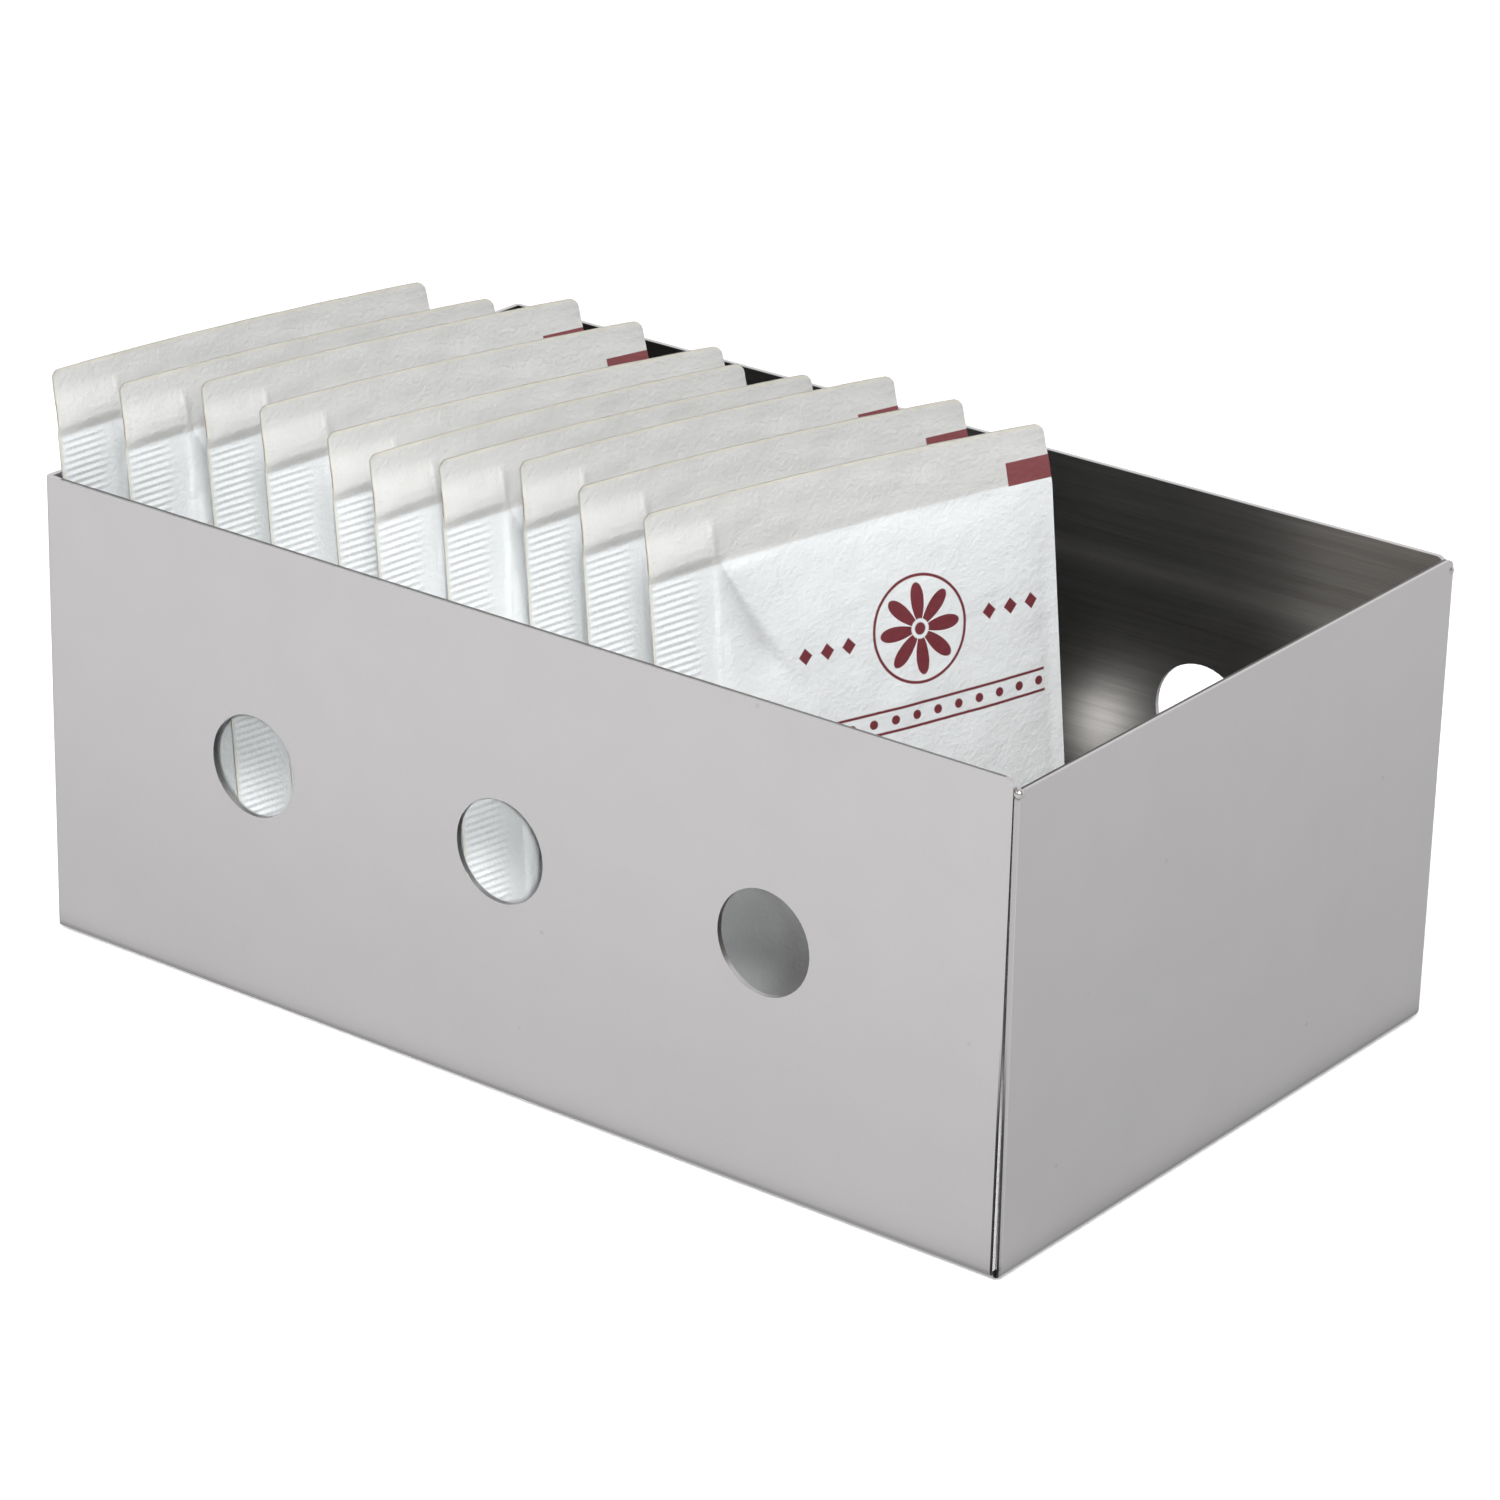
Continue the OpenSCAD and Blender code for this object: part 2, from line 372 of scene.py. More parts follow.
def makeBeam(facts):
    bpy.ops.object.light_add(type="SPOT", location=facts["place"])
    beam = bpy.context.active_object
    beam.name = facts["name"]
    towards = Vector(facts["aim"]) - Vector(facts["place"])
    beam.rotation_euler = towards.to_track_quat("-Z", "Y").to_euler()
    beam.data.spot_size = 2 * math.atan(facts["reach"] / towards.length)
    beam.data.spot_blend = facts["blend"]
    beam.data.shadow_soft_size = facts["softness"]
    beam.data.energy = facts["watts"]


def makeGlint(facts):
    makeLamp("backGlint", facts["place"], facts["aim"], *facts["size"], facts["watts"])
    glint = bpy.context.active_object
    glint.data.shape = "ELLIPSE"
    glint.visible_camera = False


makeFloor(floorFacts)
makeWorld(worldFacts)
for facts in beamFacts:
    makeBeam(facts)
makeGlint(glintFacts)
for facts in lampFacts:
    makeLamp(*facts)
bpy.context.scene.view_settings.view_transform = "Standard"
print("floor, world and lamps set")


# The folded tray's satin steel and cut edges, and its tack welds

trayFacts = {
    "outside": (0.604, 0.590, 0.595),
    "inside": (0.19, 0.184, 0.176),
    "insideEnd": (0.40, 0.370, 0.340),
    "rawTone": (0.9, 0.9, 0.9),
    "roughness": 0.34,
    # lines per millimetre along the sheet and across it
    "grain": (0.06, 5.0),
    "brushLines": (0.10, 4.5),
    "streaks": (0.02, 0.9),
    "grainDepth": 0.000004,
    # features per millimetre of the soft clouds and the small marks, and the size of a pit
    "broad": 0.03,
    "patches": 0.16,
    "specks": 2.4,
    "pits": 0.12,
    "pitSize": 0.03,
    # the plain level, and how much each of them changes it
    "level": 0.93,
    "grainShare": 0.03,
    "broadShare": 0.03,
    "patchShare": 0.05,
    "speckShare": 0.03,
    "pitShare": 0.12,
    "grainRoughness": 0.10,
    "broadRoughness": 0.06,
    # inside: the painted shade's level, plus the lines, a painted reflected band and painted low
    # light
    "insideLevel": 0.46,
    "streakShare": 0.50,
    "brushShare": 0.55,
    "reflectedBandShare": 0.6,
    "band": (39.0, 41.0, 3.0),
    "lowLightShare": 0.5,
    "low": (28.0, 14.0),
    # how far in from the outer faces of the walls, the base and the front wall the inside begins,
    # each with its softness
    "wallSkin": (0.5, 0.1),
    "baseSkin": (0.4, 0.1),
    "frontSkin": (2.0, 1),
    # the painted light at the open end: how far in from the end its middle lies, its fade, and how
    # it leans
    "endFrom": 4.0,
    "endFade": 34.0,
    "endLean": 0.25,
    # the sheet's thickness, the open seams' width, the fall of the right end panel's top edge, and
    # the width of a broken edge
    "sheet": 0.6,
    "seam": 0.15,
    "panelFall": 0.9,
    "edgeBreak": 0.06,
    # in degrees: what counts as flat, what is broken, and what is shaded as one surface
    "flat": 0.2,
    "sharp": 40,
    "shaded": 25,
    # how far in from the outer faces each line begins and ends, and its softness
    "rimLine": (0.22, 0.65, 0.05),
    "panelLine": (0.32, 0.66, 0.04),
    "shearedEdge": (0.06, 0.70, 0.04),
    "seamShadow": (0.34, 0.70, 0.05),
    "rawEnd": (0.14, 0.56, 0.03),
    "cutDepth": (0.62, 0.05),
    "arrisDepth": (0.14, 0.02),
    # how far the arris reaches along the wall, and how near its end a place counts as the end
    "arris": 0.20,
    "endReach": 0.03,
    "endSoft": 0.02,
    # how near the top edges a place counts as the top, and where the rim's line stops short
    "topReach": (-0.05, 0.02),
    "panelReach": (-0.12, 0.05),
    "rimStops": (2.0, 1.8, 0.5),
    # the height below which the open seam widens, and its softness
    "foot": (20, 12),
    # the sheared edge's tone, how dark the painted shade lines are, and how dull the raw ends
    "shearedTone": 0.84,
    "shadowDark": 0.85,
    "rimDark": 0.65,
    "panelDark": 0.85,
    "arrisDark": 0.92,
    "rawDull": 0.8,
}


def steelInside(finish, place, half, facts):
    # where a place is inside the tray, and the painted shade there: the steel is coloured darker as
    # it sees little light, and lighter towards the open end
    x, y, z = place
    (skin, soft), (frontSkin, frontSoft) = facts["wallSkin"], facts["frontSkin"]
    inside = abs(x).below(half.x - skin, soft) * abs(y).below(half.y - skin, soft)
    inside = inside * z.above(*facts["baseSkin"]) * y.above(frontSkin - half.y, frontSoft)
    towardsEnd = (x + z * facts["endLean"]).above(half.x - facts["endFrom"], facts["endFade"])
    shade = finish.blend(towardsEnd, facts["inside"], facts["insideEnd"])
    level = facts["insideLevel"] + finish.lines(place, *facts["streaks"]) * facts["streakShare"]
    level = level + finish.lines(place, *facts["brushLines"]) * facts["brushShare"]
    # painted reflection: a lighter band across the inside; below it, painted light low down
    level = level + z.within(*facts["band"]) * facts["reflectedBandShare"]
    level = level + z.below(*facts["low"]) * facts["lowLightShare"]
    return inside, finish.tint(shade, level)


def steelEdges(finish, base, place, half, facts):
    # the cut edges and seams, by how far in from the outer faces a place lies
    x, y, z = place
    endIn, sideIn, frontIn = half.x - x, half.y - abs(y), half.y + y
    towardsFoot = z.below(*facts["foot"])
    # the right end panel's sheared edge is duller, and painted shadow darkens its inner side
    # towards the foot
    cut = sideIn.below(*facts["cutDepth"])
    sheared = endIn.within(*facts["shearedEdge"]) * cut
    shadow = endIn.within(*facts["seamShadow"]) * cut * towardsFoot
    dulled = 1 - sheared * (1 - facts["shearedTone"])
    base = finish.tint(base, dulled * (1 - shadow * facts["shadowDark"]))
    # painted shade: dark lines on the front wall's top edge, and on the inner side of the right end
    # panel's top edge
    panelTop = half.z * 2 - facts["panelFall"] * (half.y - y) / (2 * half.y)
    leftStop, rightStop, stopSoft = facts["rimStops"]
    rim = (z - half.z * 2).above(*facts["topReach"]) * frontIn.within(*facts["rimLine"])
    rim = rim * x.within(leftStop - half.x, half.x - rightStop, stopSoft)
    inner = (z - panelTop).above(*facts["panelReach"]) * endIn.within(*facts["panelLine"])
    base = finish.tint(base, 1 - rim * facts["rimDark"] - inner * facts["panelDark"])
    # the ends of the long walls are raw and scatter the light where the open seam widens; painted
    # shade darkens their front arris there
    wallEnd = facts["sheet"] + facts["seam"]
    reach, soft = facts["endReach"], facts["endSoft"]
    arris = endIn.within(wallEnd - reach, wallEnd + facts["arris"], soft)
    arris = arris * sideIn.below(*facts["arrisDepth"]) * towardsFoot
    base = finish.tint(base, 1 - arris * facts["arrisDark"])
    raw = endIn.within(wallEnd - reach, wallEnd + reach, soft)
    raw = raw * sideIn.within(*facts["rawEnd"]) * towardsFoot
    return base, raw


def makeSteel(facts, size):
    half = size / 2 / mm
    finish = Finish("satinSteel")
    where = finish.place()
    place = finish.parts(where)
    inside, shade = steelInside(finish, place, half, facts)
    base = finish.blend(inside, facts["outside"], shade)
    base, raw = steelEdges(finish, base, place, half, facts)
    base = finish.blend(raw, base, facts["rawTone"])
    grain = finish.lines(place, *facts["grain"])
    broad = finish.cloud(where, facts["broad"])
    patches = finish.cloud(where, facts["patches"])
    specks = finish.cloud(where, facts["specks"], 2.0, 0.6)
    pits = finish.cells(where, facts["pits"]).below(facts["pitSize"], facts["pitSize"])
    tone = facts["level"] + grain * facts["grainShare"] + broad * facts["broadShare"]
    tone = tone + patches * facts["patchShare"] + specks * facts["speckShare"]
    rougher = (grain - 0.5) * facts["grainRoughness"] + (broad - 0.5) * facts["broadRoughness"]
    finish.feed(
        Base_Color=finish.tint(base, tone - pits * facts["pitShare"]),
        Metallic=1 - raw * facts["rawDull"],
        Roughness=facts["roughness"] + rougher,
        Normal=finish.bump(grain, facts["grainDepth"]),
    )
    return finish


weldFacts = {
    "tones": ((0.50, 0.48, 0.46), (0.68, 0.67, 0.66)),
    "ripples": 3.0,
    "rippleDepth": 0.00004,
    "roughness": 0.22,
    "rippleRoughness": 0.2,
}


def makeWeldSteel(facts):
    finish = Finish("weldSteel", Metallic=1.0)
    ripples = finish.cloud(finish.place(), facts["ripples"])
    finish.feed(
        Base_Color=finish.blend(ripples, *facts["tones"]),
        Roughness=facts["roughness"] + ripples * facts["rippleRoughness"],
        Normal=finish.bump(ripples, facts["rippleDepth"]),
    )
    return finish


def makeTray(node, facts):
    # a merged copy of the folded sheet, with the edges that the shears left just broken
    tray = node.copy()
    tray.data = node.data.copy()
    tray.name = "tray_sheet"
    tray.data.name = tray.name
    bpy.context.scene.collection.objects.link(tray)
    pick(tray)
    bpy.ops.object.mode_set(mode="EDIT")
    bpy.ops.mesh.select_all(action="SELECT")
    bpy.ops.mesh.remove_doubles(threshold=0.001 * mm)
    bpy.ops.mesh.dissolve_limited(angle_limit=math.radians(facts["flat"]))
    bpy.ops.object.mode_set(mode="OBJECT")
    bevel = tray.modifiers.new("brokenEdge", "BEVEL")
    bevel.width = facts["edgeBreak"] * mm
    bevel.segments = 1
    bevel.limit_method = "ANGLE"
    bevel.angle_limit = math.radians(facts["sharp"])
    bpy.ops.object.modifier_apply(modifier=bevel.name)
    bpy.ops.object.shade_smooth_by_angle(angle=math.radians(facts["shaded"]))
    return tray


tray = makeTray(frame["nodes"]["folded_tray"], trayFacts)
dress(tray, makeSteel(trayFacts, traySize))
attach(tray, "tray")
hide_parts("folded_tray")
dress(frame["nodes"]["corner_tack_welds"], makeWeldSteel(weldFacts))
print("tray finished")


# The paper packet, modelled once and copied

packetFacts = {
    # sizes in millimetres, across from the crimped side and up from the foot
    "width": 46.5,
    "height": 60.2,
    "fullest": 4.1,
    "sealedEdge": 0.28,
    # the solid's own seal and paper, and the share of the space that the sugar fills
    "sealed": 0.35,
    "paper": 0.12,
    "sugarShare": 0.7,
    "sugarClear": 0.05,
    "crimp": 7.5,
    "fold": 1.5,
    "bottomSeal": 6.0,
    "topSeal": 6.5,
    "corner": 1.2,
    "topCorner": 0.8,
    "topTaper": 0.9,
    "taperPower": 1.3,
    "bowLow": 0.4,
    "bowHigh": 1.5,
    "settle": 0.25,
    "pillowPower": 0.8,
    "bandRise": 0.03,
    "bandDrop": 0.4,
    # the band's roll: its height, and where it rises and tucks in, above the band's lower edge
    "rollHeight": 0.42,
    "rollRise": (5.4, 1.8),
    "rollTuck": (-0.2, 1.3),
    "waveHeight": 0.10,
    "ribPitch": 0.72,
    "ribDepth": 0.05,
    "ribFrom": 0.7,
    "ribTo": 5.2,
    # the ridge beside the crimped strip: its place, its wander, its height below the band and on
    # the band, and its width
    "ridgeFrom": 0.35,
    "ridgeWander": 0.2,
    "ridgeTurns": 0.4,
    "ridgeHeight": 0.15,
    "ridgeOnBand": 0.18,
    "ridgeWidth": 0.38,
    # the grid's rows, and its columns: at the near edge, along the strip, at the strip's inner
    # side, across the body, and in from the far edge
    "rowStep": 0.5,
    "nearStops": (0, 0.2, 0.45),
    "stripStep": 0.4,
    "creaseStops": (-0.35, -0.15, 0, 0.15, 0.35, 0.7),
    "bodyStep": 0.5,
    "bodyEnd": 1,
    "farStops": (0.6, 0.3, 0.12, 0),
    "stripCuts": 4,
    # the pleat's crease: how far it starts beyond the strip and its run across for each step down,
    # then how far the pleat stands above the body, how fast that fades, and its falling side
    "foldOff": 0.4,
    "foldFrom": 0.6,
    "foldSlope": 0.52,
    "pleatRise": 0.30,
    "pleatFade": 7,
    "pleatStart": 0.20,
    "pleatFall": 0.62,
    "pleatEnd": (16, 9),
    # the filled body's paper: its rise, soft folds, dents and small creases
    "bodyRise": 0.06,
    "crumple": 0.12,
    "dents": 0.07,
    "creases": 0.03,
    # in degrees, what is shaded as one surface
    "shaded": 50,
    # the paper's own map spans this many millimetres, the front on its left half
    "mapSize": 120.0,
}


def smooth(low, high, value):
    t = max(0.0, min(1.0, (value - low) / (high - low)))
    return t * t * (3 - 2 * t)


def ridge(value, centre, width):
    return math.exp(-(((value - centre) / width) ** 2))


def fullness(u, v, f):
    pillowWide = f["width"] - f["crimp"] - f["fold"]
    pillowHigh = f["height"] - f["bottomSeal"] - f["topSeal"]
    across = max(-1.0, min(1.0, 2 * (u - f["crimp"]) / pillowWide - 1))
    up = max(-1.0, min(1.0, 2 * (v - f["bottomSeal"]) / pillowHigh - 1))
    dome = (max(0.0, 1 - across**2) * max(0.0, 1 - up**2)) ** f["pillowPower"]
    return dome * (1 - f["settle"] * up)


def bow(u, v, f):
    reach = f["bowLow"] + (f["bowHigh"] - f["bowLow"]) * v / f["height"]
    return reach * (1 - (2 * u / f["width"] - 1) ** 2)


def bandEdge(u, f):
    # the lower edge of the top band, which climbs a little towards the folded side; the paper's
    # finish uses it too
    return f["height"] - f["topSeal"] - f["bandDrop"] + f["bandRise"] * u


def ribs(u, v, f):
    low = bandEdge(u, f)
    region = smooth(f["ribFrom"] - 0.4, f["ribFrom"], u)
    region *= smooth(f["ribTo"] + 1.2, f["ribTo"] - 1.5, u)
    region *= smooth(f["bottomSeal"] - 0.3, f["bottomSeal"] + 0.3, v) * smooth(low, low - 0.7, v)
    along = v - f["bandRise"] * u
    return f["ribDepth"] * math.sin(2 * math.pi * along / f["ribPitch"]) * region


def bandRoll(u, v, f):
    # the top band rolls forward over the crimped strip and tucks in sharply under it
    low = bandEdge(u, f)
    over = smooth(f["crimp"] + 1.1, f["crimp"] - 0.9, u) * (0.6 + 0.4 * smooth(0, 2.5, u))
    roll = smooth(*[low + rise for rise in f["rollRise"]], v)
    roll *= smooth(*[low + rise for rise in f["rollTuck"]], v)
    waves = noise.noise(Vector((u * 0.22, v * 0.5, 1.3))) * f["waveHeight"]
    return f["rollHeight"] * over * roll + waves * smooth(low, low + 2, v)


def frontRelief(u, v, f):
    low = bandEdge(u, f)
    drop = low - v
    # the ridge along the inner side of the crimped strip, faint where it crosses the band
    ridgeAt = f["crimp"] + f["ridgeFrom"] + f["ridgeWander"] * math.sin(v * f["ridgeTurns"])
    crest = f["ridgeHeight"] * smooth(-0.2, 1.5, drop) * smooth(3, 6, v)
    crest += f["ridgeOnBand"] * smooth(-4.8, -3.2, drop) * smooth(0.2, -0.8, drop)
    relief = crest * ridge(u, ridgeAt, f["ridgeWidth"])
    inBody = smooth(f["crimp"] + 0.4, f["crimp"] + 1.2, u) * smooth(f["width"], f["width"] - 2.0, u)
    inBody *= smooth(f["bottomSeal"], f["bottomSeal"] + 2, v) * smooth(-0.1, 0.4, drop)
    # the pleat that runs down from the corner between the band and the strip: the paper falls
    # away from the ridge to a crease, and the body stands above it
    fold = f["foldFrom"] + f["foldSlope"] * max(0.0, drop)
    off = u - f["crimp"] - f["foldOff"] - fold
    risen = smooth(-0.45, 0.45, off)
    fallen = max(0.0, min(1.0, 1 + off / fold))
    reach = smooth(-0.2, 0.8, drop) * smooth(*f["pleatEnd"], drop)
    pleat = risen * f["pleatRise"] * math.exp(-max(0.0, off) / f["pleatFade"])
    pleat += (1 - risen) * (f["pleatStart"] - f["pleatFall"] * fallen)
    # soft dents and a few crisp creases of filled paper
    place = Vector((u * 0.11, v * 0.11, 3.7))
    crumple = 0.5 - abs(noise.noise(place)) * 2
    dents = noise.noise(place * 2.6 + Vector((5, 1, 2)))
    small = 0.5 - abs(noise.noise(place * 5.1 + Vector((2, 7, 4)))) * 2
    body = f["bodyRise"] + f["crumple"] * crumple + f["dents"] * dents + f["creases"] * small
    return relief + inBody * (pleat * reach + body)


def packetPoint(u, v, side, f):
    # where a point of the front or back paper lies, in the packet's own axes, in millimetres
    full = fullness(u, v, f)
    half = f["sealedEdge"] / 2 + (f["fullest"] - f["sealedEdge"]) / 2 * full
    mid = ribs(u, v, f) + bandRoll(u, v, f) - bow(u, v, f)
    # the solid's own sugar, which the paper must clear
    sugar = f["sealed"] / 2 - f["paper"] + (f["fullest"] - f["sealed"]) / 2 * full
    sugar *= f["sugarShare"]
    return mid + side * max(half + frontRelief(u, v, f), sugar + f["sugarClear"])


def roundCorner(u, v, f):
    # moves a point near a corner of the square sheet on to its rounded outline, narrower at the top
    r = f["corner"] if v < f["height"] / 2 else f["topCorner"]
    nearTop = max(0.0, (v - f["height"]) / f["topSeal"] + 1)
    narrow = f["topTaper"] * nearTop ** f["taperPower"] * u / f["width"]
    cu = r if u < r else f["width"] - r if u > f["width"] - r else u
    cv = r if v < r else f["height"] - r if v > f["height"] - r else v
    a, b = (u - cu) / r, (v - cv) / r
    ru = cu + a * math.sqrt(1 - b * b / 2) * r
    return ru - narrow, cv + b * math.sqrt(1 - a * a / 2) * r


def spread(stops, share):
    # a place between evenly counted stops, so that the sheet's columns can be uneven
    steps = len(stops) - 1
    i = min(int(share * steps), steps - 1)
    return stops[i] + (stops[i + 1] - stops[i]) * (share * steps - i)


def columnStops(f):
    # where the grid's columns stand, and how many of them are on the crimped strip
    stops = list(f["nearStops"])
    while stops[-1] < f["crimp"] - 2 * f["stripStep"]:
        stops.append(stops[-1] + f["stripStep"])
    stripColumns = len(stops) + sum(offset < 0 for offset in f["creaseStops"])
    stops += [f["crimp"] + offset for offset in f["creaseStops"]]
    start, span = stops[-1], f["width"] - f["bodyEnd"] - stops[-1]
    steps = round(span / f["bodyStep"])
    stops += [start + span * (i + 1) / steps for i in range(steps)]
    stops += [f["width"] - rest for rest in f["farStops"]]
    return stops, stripColumns


def makeSheet(name, side, f):
    # one paper of the packet: a grid with finer rows across the crimped strip
    columns, stripColumns = columnStops(f)
    rows = round(f["height"] / f["rowStep"])
    deselectAll()
    bpy.ops.mesh.primitive_grid_add(x_subdivisions=len(columns) - 1, y_subdivisions=rows, size=1)
    sheet = bpy.context.active_object
    sheet.name = name
    stripEnd = (stripColumns + 0.5) / (len(columns) - 1) - 0.5
    bpy.ops.object.mode_set(mode="EDIT")
    bpy.ops.mesh.select_all(action="DESELECT")
    bpy.ops.mesh.select_mode(type="EDGE")
    mesh = bmesh.from_edit_mesh(sheet.data)
    for edge in mesh.edges:
        a, b = edge.verts
        edge.select_set(abs(a.co.x - b.co.x) < 1e-6 and a.co.x < stripEnd)
    bmesh.update_edit_mesh(sheet.data)
    bpy.ops.mesh.subdivide(number_cuts=f["stripCuts"])
    bpy.ops.object.mode_set(mode="OBJECT")
    shape = sheet.data
    flat = []
    for vertex in shape.vertices:
        u = spread(columns, min(1.0, max(0.0, vertex.co.x + 0.5)))
        v = (vertex.co.y + 0.5) * f["height"]
        flat.append((u, v))
        ru, rv = roundCorner(u, v, f)
        vertex.co = Vector((packetPoint(u, v, side, f), ru, rv)) * mm
    uvMap = shape.uv_layers.active or shape.uv_layers.new(name="paperMap")
    uvMap.name = "paperMap"
    shift = 0 if side > 0 else f["mapSize"] / 2
    for loop in shape.loops:
        u, v = flat[loop.vertex_index]
        uvMap.data[loop.index].uv = ((u + shift) / f["mapSize"], v / f["mapSize"])
    return sheet


def makePacket(f):
    front = makeSheet("packetFront", 1, f)
    back = makeSheet("packetBack", -1, f)
    pick(front, back)
    bpy.ops.object.join()
    bpy.ops.object.mode_set(mode="EDIT")
    bpy.ops.mesh.select_mode(type="EDGE")
    bpy.ops.mesh.select_all(action="DESELECT")
    bpy.ops.mesh.select_non_manifold()
    bpy.ops.mesh.bridge_edge_loops()
    bpy.ops.mesh.select_all(action="SELECT")
    bpy.ops.mesh.normals_make_consistent(inside=False)
    bpy.ops.object.mode_set(mode="OBJECT")
    packet = bpy.context.active_object
    bpy.ops.object.shade_smooth_by_angle(angle=math.radians(f["shaded"]))
    return packet


def packetPlace(node, axis):
    # the packet's own axes, from its joint's axis and its solid's feet: across, up and out
    up = Vector(axis).normalized()
    corners = frame["nodes"][node].data.vertices
    points = [Vector(p) for p in {tuple(round(c, 7) for c in corner.co) for corner in corners}]
    nearFoot = sorted(points, key=lambda p: p.dot(up) + p.y)[:2]
    farFoot = sorted(points, key=lambda p: p.dot(up) - p.y)[:2]
    across = farFoot[0] + farFoot[1] - nearFoot[0] - nearFoot[1]
    across = (across - up * across.dot(up)).normalized()
    out = across.cross(up)
    low = min(p.dot(across) for p in points)
    foot = min(p.dot(up) for p in points)
    edge = [p.dot(out) for p in points if p.dot(across) < low + 0.2 * mm]
    face = (min(edge) + max(edge)) / 2
    place = Matrix((out, across, up)).transposed().to_4x4()
    place.translation = out * face + across * low + up * foot
    return place


paperFacts = {
    "bodyTone": (0.756, 0.777, 0.785),
    "bandTone": (0.610, 0.610, 0.598),
    "edgeTone": (0.66, 0.63, 0.53),
    # the plain level, how much the fibres, clouds and smudges lighten it, the shade of the pleat
    # and of the top edge, and the light on the band's roll
    "level": 0.91,
    "fibreShare": 0.07,
    "mottleShare": 0.07,
    "smudgeShare": 0.04,
    "pleatShade": 0.30,
    "topShade": 0.05,
    "rollLift": 0.08,
    # features per millimetre of the fibres and clouds, and of the smudges across and up; and how
    # far apart the front's and the back's patterns lie
    "fibres": 1.9,
    "mottle": 0.32,
    "smudges": (0.14, 0.4),
    "backShift": 40,
    # how far below the band's lower edge the pleat's shade and the roll's light reach, and how far
    # down from the top its shade does, each with its softness
    "hollowPower": 1.5,
    "hollowReach": (0.6, 10, 6),
    "rollReach": (-4.4, -0.8, 1.8),
    "topReach": (1.6, 1.8),
    "edgeWidth": 0.28,
    "edgeShare": 0.6,
    "roughness": 0.5,
    "mottleRoughness": 0.2,
    "fibreRise": 0.7,
    "fibreDepth": 0.00016,
    "shine": 0.35,
    "ink": (0.165, 0.028, 0.036),
    "markInk": (0.215, 0.060, 0.066),
    # the red corner mark: its width, and how far above the band's edge it begins and ends
    "markWidth": 4.8,
    "markRise": (-0.1, 2.3),
    # the printed rosette, in millimetres on the packet, with a row of diamonds on either side
    "rosetteAt": (30.0, 42.6),
    "petalReach": 4.6,
    "petalTurns": 4,
    "petalRound": 0.7,
    "petalFrom": 1.0,
    "core": 0.62,
    "ring": (0.55, 0.85),
    "diamond": 0.85,
    "diamondWide": 1.1,
    "rule": 0.14,
    "dotArea": 0.22,
    "inkSoft": 0.16,
    "lineSoft": 0.12,
    "rowFrom": 7.0,
    "rowTo": 14.5,
    "rowStep": 2.5,
    "ruleBelow": 8.4,
    "ruleGap": 1.1,
}


def makePrint(finish, u, v, facts):
    # how much ink lies at a place on the front paper: a rosette, diamonds and a ruled line
    du, dv = u - facts["rosetteAt"][0], v - facts["rosetteAt"][1]
    soft, fine, reach = facts["inkSoft"], facts["lineSoft"], facts["petalReach"]
    radius = (du * du + dv * dv) ** 0.5
    angle = dv.math("ARCTAN2", du)
    petal = abs((angle * facts["petalTurns"]).math("COSINE")) ** facts["petalRound"] * reach
    ink = (petal - radius).above(0, soft) * radius.above(facts["petalFrom"], soft)
    core = radius.below(facts["core"], soft)
    ring = radius.within(reach + facts["ring"][0], reach + facts["ring"][1], fine)
    side = abs(du)
    step = facts["rowStep"]
    cell = ((side - facts["rowFrom"]) / step).math("FRACT") * step - step / 2
    diamond = (abs(cell) * facts["diamondWide"] + abs(dv)).below(facts["diamond"], soft)
    diamond = diamond * side.within(facts["rowFrom"], facts["rowTo"], 0.02)
    ruleAt = dv + facts["ruleBelow"]
    rules = abs(abs(ruleAt) - facts["ruleGap"]).below(facts["rule"], fine)
    dot = (du / step).math("FRACT") * step - step / 2
    dots = (dot * dot + ruleAt * ruleAt).below(facts["dotArea"], fine)
    footer = rules.math("MAXIMUM", dots) * side.below(facts["rowTo"], 0.1)
    for part in (core, ring, diamond, footer):
        ink = ink.math("MAXIMUM", part)
    return ink


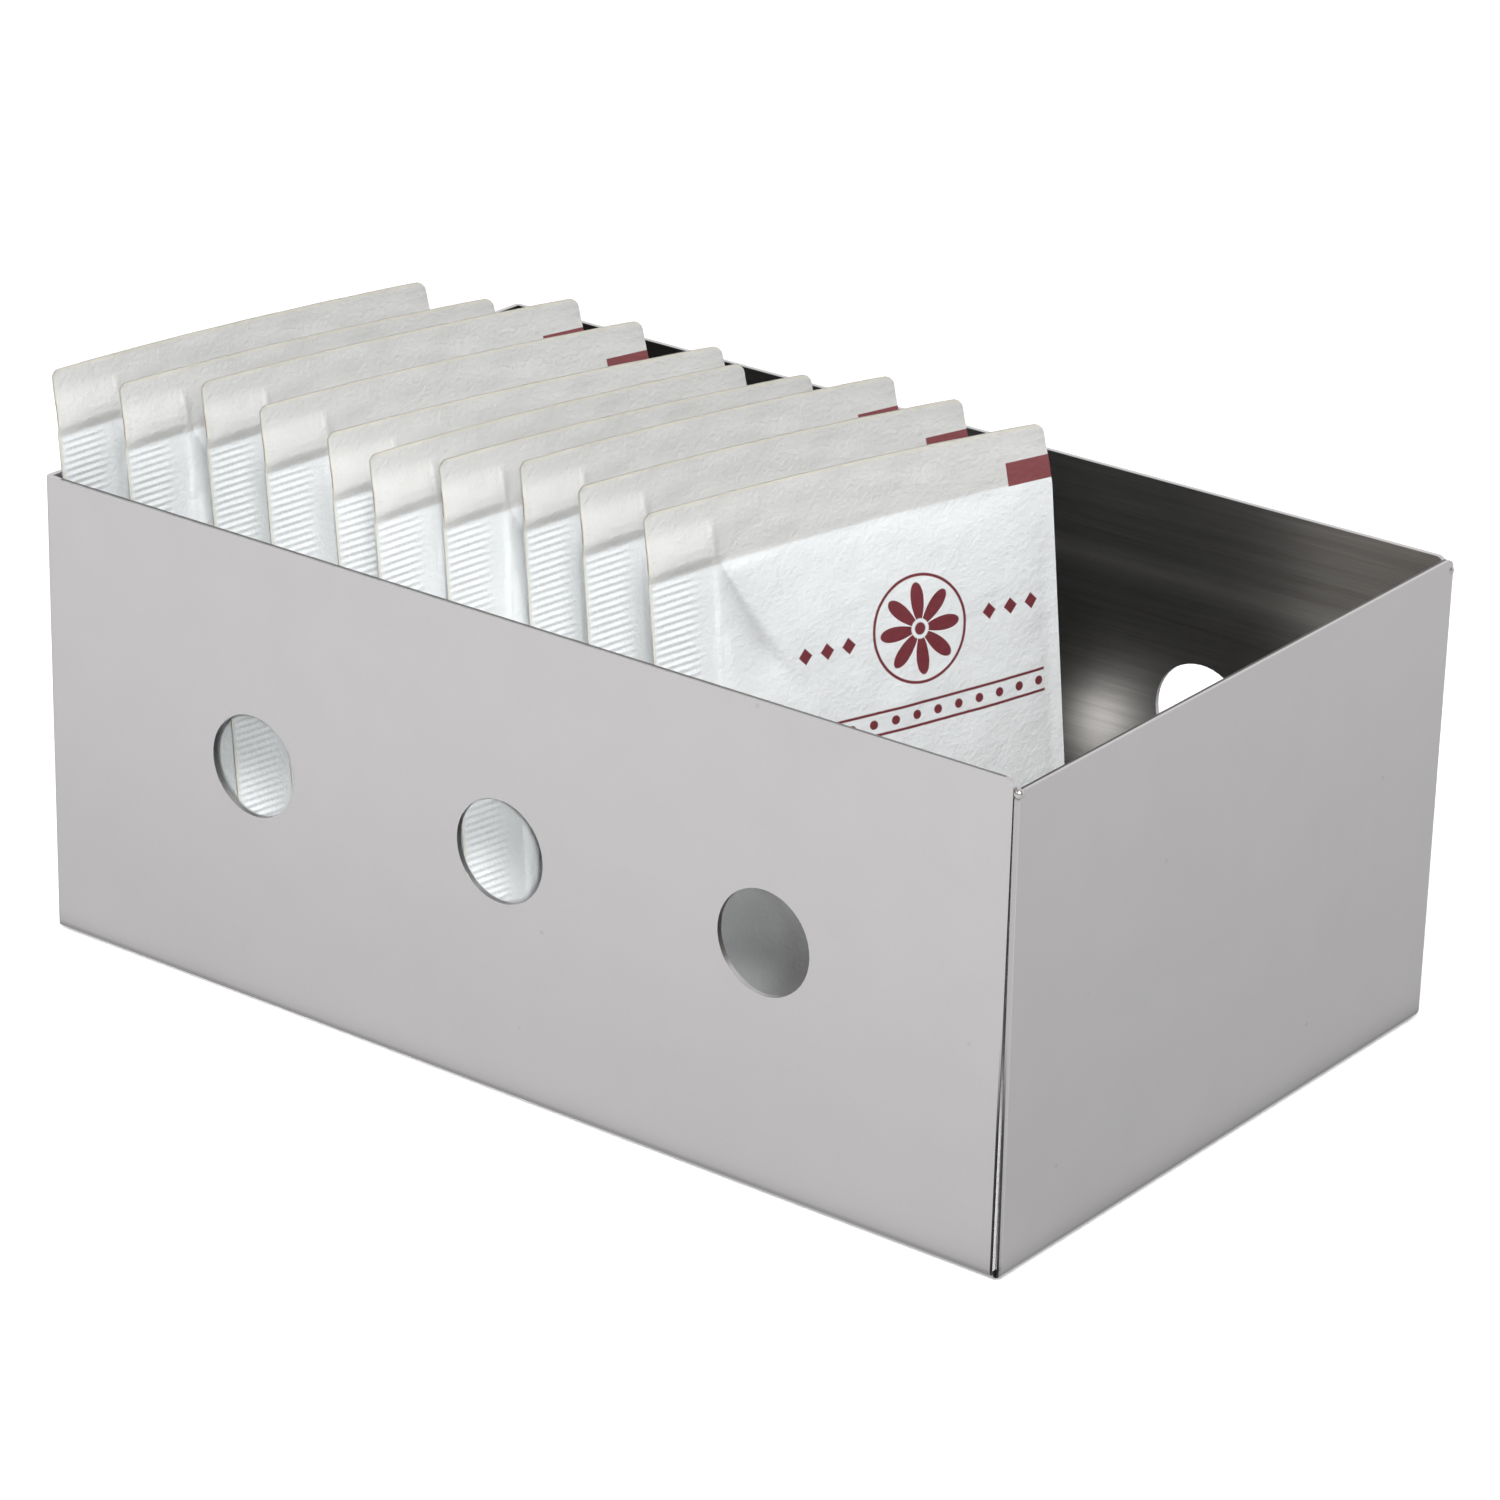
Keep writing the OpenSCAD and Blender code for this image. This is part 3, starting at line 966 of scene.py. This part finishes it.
def makePaper(f, facts):
    finish = Finish("printedPaper")
    finish.shader.inputs["Specular IOR Level"].default_value = facts["shine"]
    paperMap = finish.tint(finish.node("ShaderNodeUVMap", {"uv_map": "paperMap"}), f["mapSize"])
    u, v, _ = finish.parts(paperMap)
    onFront = u.below(f["mapSize"] / 2 - 5, 1)
    u = u - (1 - onFront) * (f["mapSize"] / 2)
    low = bandEdge(u, f)
    mapped = finish.join(u, v, onFront * facts["backShift"])
    fibre = finish.cloud(mapped, facts["fibres"], 4.0, 0.65)
    mottle = finish.cloud(mapped, facts["mottle"], 3.0, 0.6)
    across, upwards = facts["smudges"]
    smudges = finish.cloud(finish.join(u * across, v * upwards, 2.0), 1.0)
    drop = low - v
    inBody = v.above(f["bottomSeal"], 0.5) * drop.above(0, 0.35)
    # the pleat's hollow lies in shade, most of all along its crease
    fold = drop.math("MAXIMUM", 0.0) * f["foldSlope"] + f["foldFrom"]
    fallen = (u - f["crimp"] - f["foldOff"]) / fold
    hollow = fallen.math("MAXIMUM", 0.0) ** facts["hollowPower"] * fallen.below(1.0, 0.3)
    hollow = hollow * drop.within(*facts["hollowReach"])
    tone = finish.blend(inBody, facts["bandTone"], facts["bodyTone"])
    edge = facts["edgeWidth"]
    rim = u.below(edge, 0.2).math("MAXIMUM", v.above(f["height"] - edge, 0.2))
    tone = finish.blend(rim * facts["edgeShare"], tone, facts["edgeTone"])
    above = v - low
    mark = u.above(f["width"] - facts["markWidth"], 0.08) * above.within(*facts["markRise"], 0.08)
    tone = finish.blend(makePrint(finish, u, v, facts) * onFront, tone, facts["ink"])
    tone = finish.blend(mark * onFront, tone, facts["markInk"])
    level = facts["level"] + fibre * facts["fibreShare"] + mottle * facts["mottleShare"]
    level = level + smudges * facts["smudgeShare"] - hollow * facts["pleatShade"] * onFront
    # the roll of the band over the crimped strip catches the light
    roll = u.below(f["crimp"] + 0.2, 1.2) * drop.within(*facts["rollReach"])
    level = level + roll * facts["rollLift"]
    topReach, topSoft = facts["topReach"]
    level = level - v.above(f["height"] - topReach, topSoft) * facts["topShade"]
    finish.feed(
        Base_Color=finish.tint(tone, level),
        Roughness=facts["roughness"] + mottle * facts["mottleRoughness"],
        Normal=finish.bump(fibre * facts["fibreRise"] + mottle, facts["fibreDepth"]),
    )
    return finish


sugarFacts = {
    "tones": ((0.94, 0.93, 0.90), (0.78, 0.77, 0.74)),
    "roughness": 0.45,
    "grains": 2.2,
    "grainDepth": 0.0002,
}


def makeSugar(facts):
    finish = Finish("looseSugar", Roughness=facts["roughness"])
    grains = finish.cells(finish.place(), facts["grains"])
    finish.feed(
        Base_Color=finish.blend(grains, *facts["tones"]),
        Normal=finish.bump(grains, facts["grainDepth"]),
    )
    return finish


packetPaper = makePaper(packetFacts, paperFacts)
looseSugar = makeSugar(sugarFacts)
master = makePacket(packetFacts)
print("packet modelled:", len(master.data.polygons), "faces")
lifts = {joint["child"]: joint["axis"] for joint in frame["joints"]}
for body, axis in sorted(lifts.items()):
    node = body + "_envelope"
    packet = master.copy()
    packet.data = master.data.copy()
    packet.name = body + "_paper"
    packet.data.name = packet.name
    bpy.context.scene.collection.objects.link(packet)
    packet.data.transform(packetPlace(node, axis))
    dress(packet, packetPaper)
    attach(packet, body)
    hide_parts(node)
    dress(frame["nodes"][body + "_sugar"], looseSugar)
bpy.data.objects.remove(master)
print("packets placed:", len(lifts))

deselectAll()
